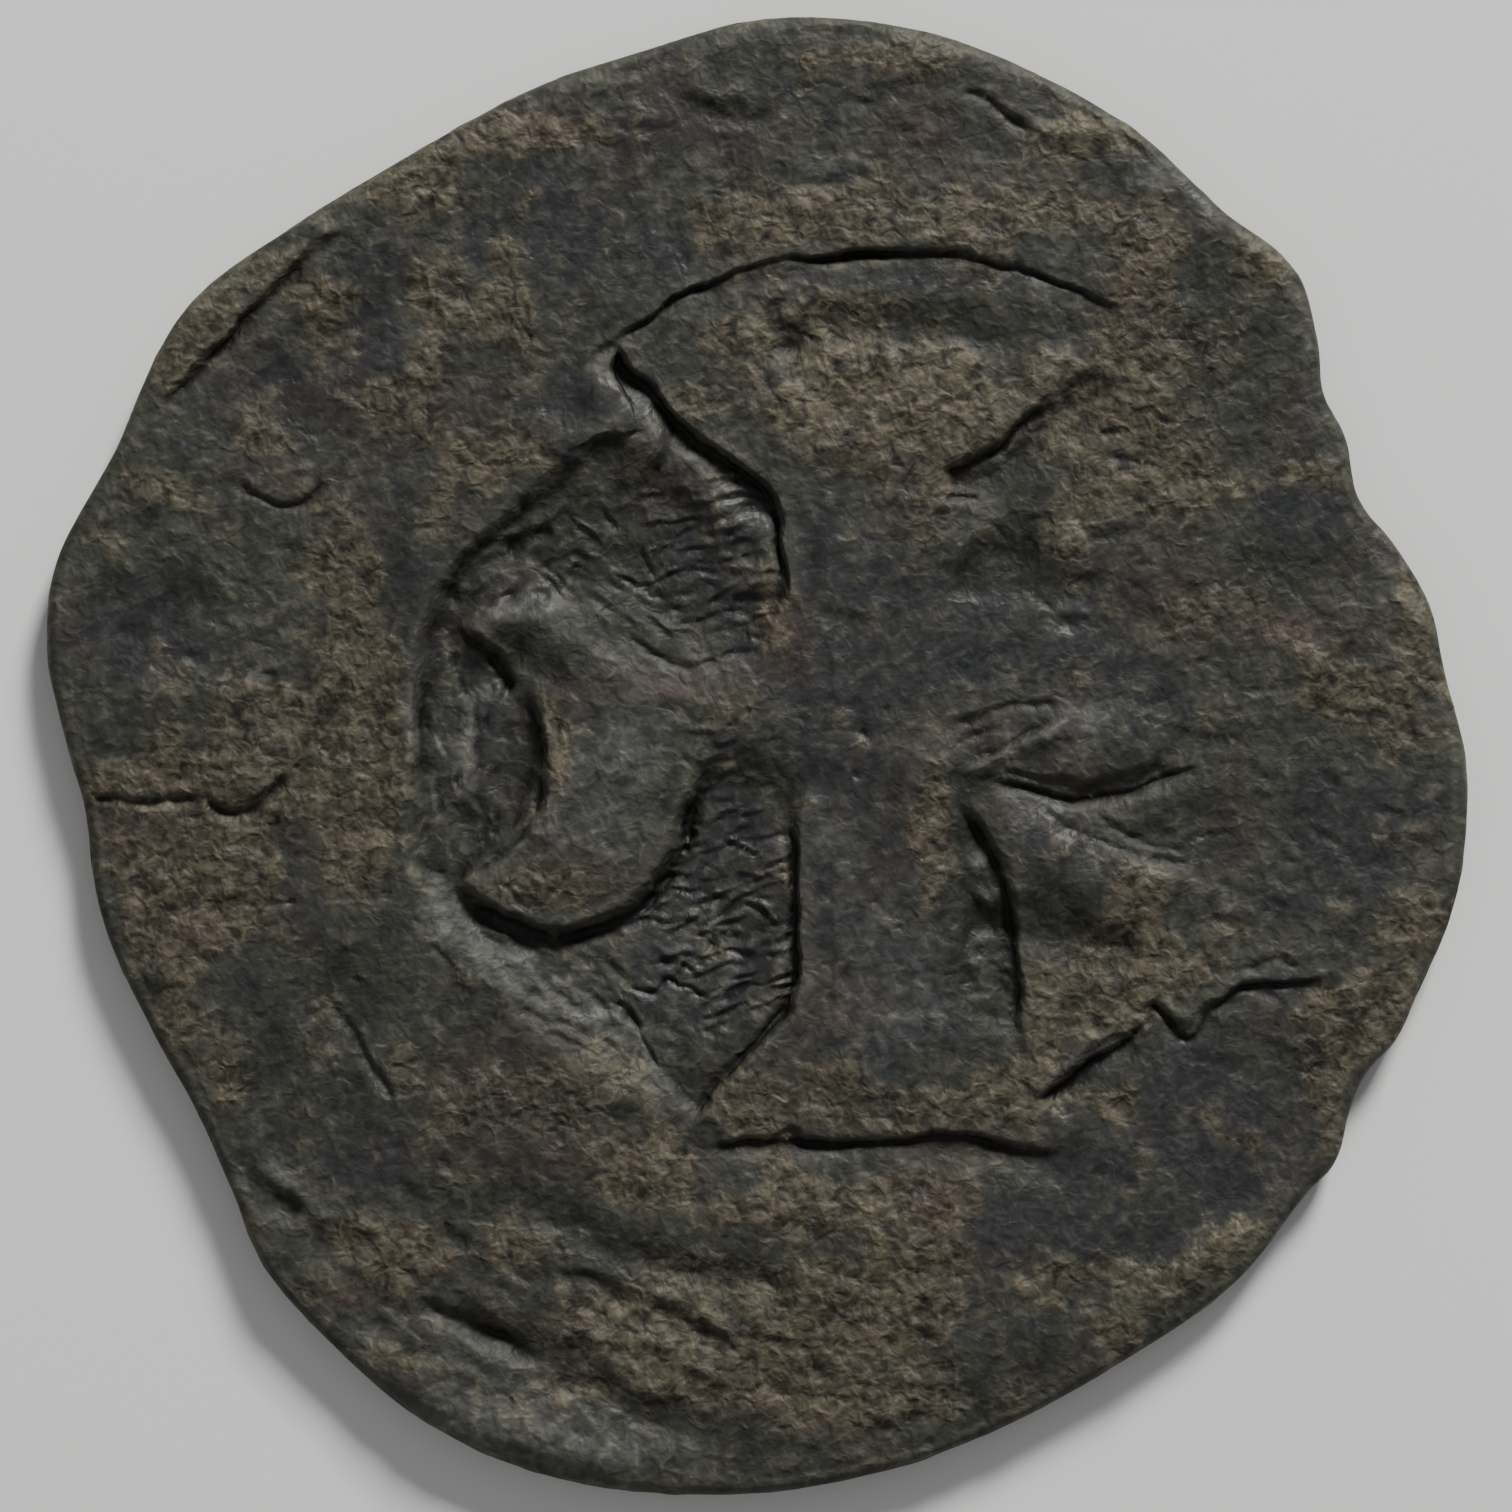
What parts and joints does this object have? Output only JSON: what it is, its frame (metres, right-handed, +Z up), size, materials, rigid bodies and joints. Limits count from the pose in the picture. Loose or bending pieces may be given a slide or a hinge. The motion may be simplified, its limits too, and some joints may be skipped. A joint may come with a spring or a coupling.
{
  "type": "medieval penny",
  "caption": "Hammered silver coin with an uneven flan, a flared cross in a worn inner circle on top, and a plainer underside to lie on.",
  "frame": {"origin": "middle of the flan's bounding box, on the plane that the underside rests on", "axes": "+Z up out of the struck cross side, along the thickness; +Y along the cross's lower arm towards its upper arm, the flan's longest extent; +X to the right when looked down on"},
  "size_m": [0.0188, 0.0196, 0.0007],
  "materials": {
    "silver": "dark grey-brown patina, rough, with soft grey worn patches"
  },
  "bodies": {
    "root": {"penny": "silver"}
  },
  "joints": []
}
